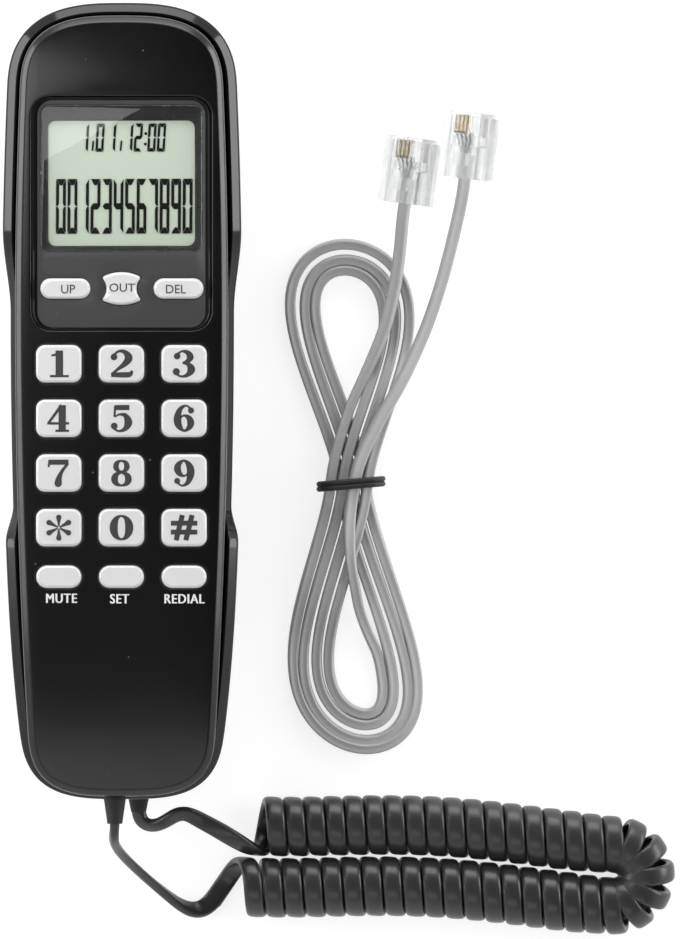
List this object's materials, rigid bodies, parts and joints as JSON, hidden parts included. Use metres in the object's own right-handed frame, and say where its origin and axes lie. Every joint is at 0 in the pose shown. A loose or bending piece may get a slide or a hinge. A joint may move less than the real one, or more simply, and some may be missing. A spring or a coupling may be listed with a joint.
{
  "type": "corded telephone",
  "caption": "Slim corded telephone: keypad and display handset lying in a cradle, with a curly cord, a wall or desk base and a loose modular line cord.",
  "frame": {"origin": "on the table, under the middle of the phone's plan (cords left out)", "axes": "+Z out of the keypad face, +Y along the phone to its display end, +X to the right of the keypad"},
  "size_m": [0.1326, 0.1862, 0.0412],
  "materials": {
    "cradle_black": "high gloss",
    "shell_black": "fine satin",
    "bezel_grey": "gloss",
    "lens_clear": "polished",
    "lcd_grey": "satin",
    "key_clear": "polished clear cap over white",
    "plug_clear": "polished",
    "contact_gold": "bright",
    "screw_steel": "zinc plated",
    "rubber_black": "matt",
    "mat_grey": "matt",
    "board_green": "satin",
    "part_grey": "satin",
    "mic_metal": "satin",
    "piezo_brass": "satin",
    "cord_charcoal": "soft satin",
    "cord_grey": "soft satin",
    "tie_black": "braided elastic"
  },
  "bodies": {
    "base": {"base_cradle": "cradle_black", "base_plate": "shell_black", "base_screws": "screw_steel", "rubber_feet": "rubber_black", "line_jack": "part_grey", "jack_contacts": "contact_gold", "base_board": "board_green", "hook_switch": "part_grey", "hook_spring": "screw_steel", "base_cord_gland": "rubber_black", "curly_cord_curls": "cord_charcoal", "curly_cord_base_lead": "cord_charcoal", "curly_cord_handset_lead": "cord_charcoal", "line_cord_hank": "cord_grey", "line_cord_lead_a": "cord_grey", "line_cord_lead_b": "cord_grey", "cord_tie": "tie_black", "plug_a_body": "plug_clear", "plug_a_contacts": "contact_gold", "plug_b_body": "plug_clear", "plug_b_contacts": "contact_gold"},
    "plunger": {"hook_plunger": "cradle_black"},
    "handset": {"handset_front_shell": "shell_black", "handset_back_shell": "shell_black", "display_bezel": "bezel_grey", "display_lens": "lens_clear", "lcd_panel": "lcd_grey", "zebra_strip": "mat_grey", "main_board": "board_green", "keypad_mat": "mat_grey", "receiver": "part_grey", "microphone": "mic_metal", "ringer": "piezo_brass", "handset_screws": "screw_steel", "handset_cord_gland": "rubber_black"},
    "key_1_cap": {"key_1": "key_clear"},
    "key_2_cap": {"key_2": "key_clear"},
    "key_3_cap": {"key_3": "key_clear"},
    "key_4_cap": {"key_4": "key_clear"},
    "key_5_cap": {"key_5": "key_clear"},
    "key_6_cap": {"key_6": "key_clear"},
    "key_7_cap": {"key_7": "key_clear"},
    "key_8_cap": {"key_8": "key_clear"},
    "key_9_cap": {"key_9": "key_clear"},
    "key_star_cap": {"key_star": "key_clear"},
    "key_0_cap": {"key_0": "key_clear"},
    "key_hash_cap": {"key_hash": "key_clear"},
    "key_mute_cap": {"key_mute": "key_clear"},
    "key_set_cap": {"key_set": "key_clear"},
    "key_redial_cap": {"key_redial": "key_clear"},
    "key_up_cap": {"key_up": "key_clear"},
    "key_out_cap": {"key_out": "key_clear"},
    "key_del_cap": {"key_del": "key_clear"},
    "latch_a": {"plug_a_latch": "plug_clear"},
    "latch_b": {"plug_b_latch": "plug_clear"}
  },
  "joints": [
    {"name": "handset_lift", "type": "slide", "parent": "base", "child": "handset", "axis": [0, 0, 1], "range_m": [0, 0.045]},
    {"name": "hook_travel", "type": "slide", "parent": "base", "child": "plunger", "axis": [0, 0, 1], "range_m": [0, 0.003], "deforming": ["hook_spring"]},
    {"name": "key_1_press", "type": "slide", "parent": "handset", "child": "key_1_cap", "axis": [0, 0, -1], "range_m": [0, 0.0008], "stiffness_N_per_m": 400, "springref_m": -0.0005},
    {"name": "key_2_press", "type": "slide", "parent": "handset", "child": "key_2_cap", "axis": [0, 0, -1], "range_m": [0, 0.0008], "stiffness_N_per_m": 400, "springref_m": -0.0005},
    {"name": "key_3_press", "type": "slide", "parent": "handset", "child": "key_3_cap", "axis": [0, 0, -1], "range_m": [0, 0.0008], "stiffness_N_per_m": 400, "springref_m": -0.0005},
    {"name": "key_4_press", "type": "slide", "parent": "handset", "child": "key_4_cap", "axis": [0, 0, -1], "range_m": [0, 0.0008], "stiffness_N_per_m": 400, "springref_m": -0.0005},
    {"name": "key_5_press", "type": "slide", "parent": "handset", "child": "key_5_cap", "axis": [0, 0, -1], "range_m": [0, 0.0008], "stiffness_N_per_m": 400, "springref_m": -0.0005},
    {"name": "key_6_press", "type": "slide", "parent": "handset", "child": "key_6_cap", "axis": [0, 0, -1], "range_m": [0, 0.0008], "stiffness_N_per_m": 400, "springref_m": -0.0005},
    {"name": "key_7_press", "type": "slide", "parent": "handset", "child": "key_7_cap", "axis": [0, 0, -1], "range_m": [0, 0.0008], "stiffness_N_per_m": 400, "springref_m": -0.0005},
    {"name": "key_8_press", "type": "slide", "parent": "handset", "child": "key_8_cap", "axis": [0, 0, -1], "range_m": [0, 0.0008], "stiffness_N_per_m": 400, "springref_m": -0.0005},
    {"name": "key_9_press", "type": "slide", "parent": "handset", "child": "key_9_cap", "axis": [0, 0, -1], "range_m": [0, 0.0008], "stiffness_N_per_m": 400, "springref_m": -0.0005},
    {"name": "key_star_press", "type": "slide", "parent": "handset", "child": "key_star_cap", "axis": [0, 0, -1], "range_m": [0, 0.0008], "stiffness_N_per_m": 400, "springref_m": -0.0005},
    {"name": "key_0_press", "type": "slide", "parent": "handset", "child": "key_0_cap", "axis": [0, 0, -1], "range_m": [0, 0.0008], "stiffness_N_per_m": 400, "springref_m": -0.0005},
    {"name": "key_hash_press", "type": "slide", "parent": "handset", "child": "key_hash_cap", "axis": [0, 0, -1], "range_m": [0, 0.0008], "stiffness_N_per_m": 400, "springref_m": -0.0005},
    {"name": "key_mute_press", "type": "slide", "parent": "handset", "child": "key_mute_cap", "axis": [0, 0, -1], "range_m": [0, 0.0008], "stiffness_N_per_m": 400, "springref_m": -0.0005},
    {"name": "key_set_press", "type": "slide", "parent": "handset", "child": "key_set_cap", "axis": [0, 0, -1], "range_m": [0, 0.0008], "stiffness_N_per_m": 400, "springref_m": -0.0005},
    {"name": "key_redial_press", "type": "slide", "parent": "handset", "child": "key_redial_cap", "axis": [0, 0, -1], "range_m": [0, 0.0008], "stiffness_N_per_m": 400, "springref_m": -0.0005},
    {"name": "key_up_press", "type": "slide", "parent": "handset", "child": "key_up_cap", "axis": [0, 0, -1], "range_m": [0, 0.0008], "stiffness_N_per_m": 400, "springref_m": -0.0005},
    {"name": "key_out_press", "type": "slide", "parent": "handset", "child": "key_out_cap", "axis": [0, 0, -1], "range_m": [0, 0.0008], "stiffness_N_per_m": 400, "springref_m": -0.0005},
    {"name": "key_del_press", "type": "slide", "parent": "handset", "child": "key_del_cap", "axis": [0, 0, -1], "range_m": [0, 0.0008], "stiffness_N_per_m": 400, "springref_m": -0.0005},
    {"name": "latch_a_press", "type": "hinge", "parent": "base", "child": "latch_a", "pos_m": [0.06062, 0.05136, 0.00263], "axis": [-0.7803, 0.1097, -0.6157], "range_deg": [0, 8], "stiffness_Nm_per_rad": 0.02},
    {"name": "latch_b_press", "type": "hinge", "parent": "base", "child": "latch_b", "pos_m": [0.07241, 0.05642, 0.00263], "axis": [-0.7821, 0.096, -0.6157], "range_deg": [0, 8], "stiffness_Nm_per_rad": 0.02}
  ],
  "couplings": [
    {"joint": "hook_travel", "follows": "handset_lift", "ratio": 0.066666}
  ]
}
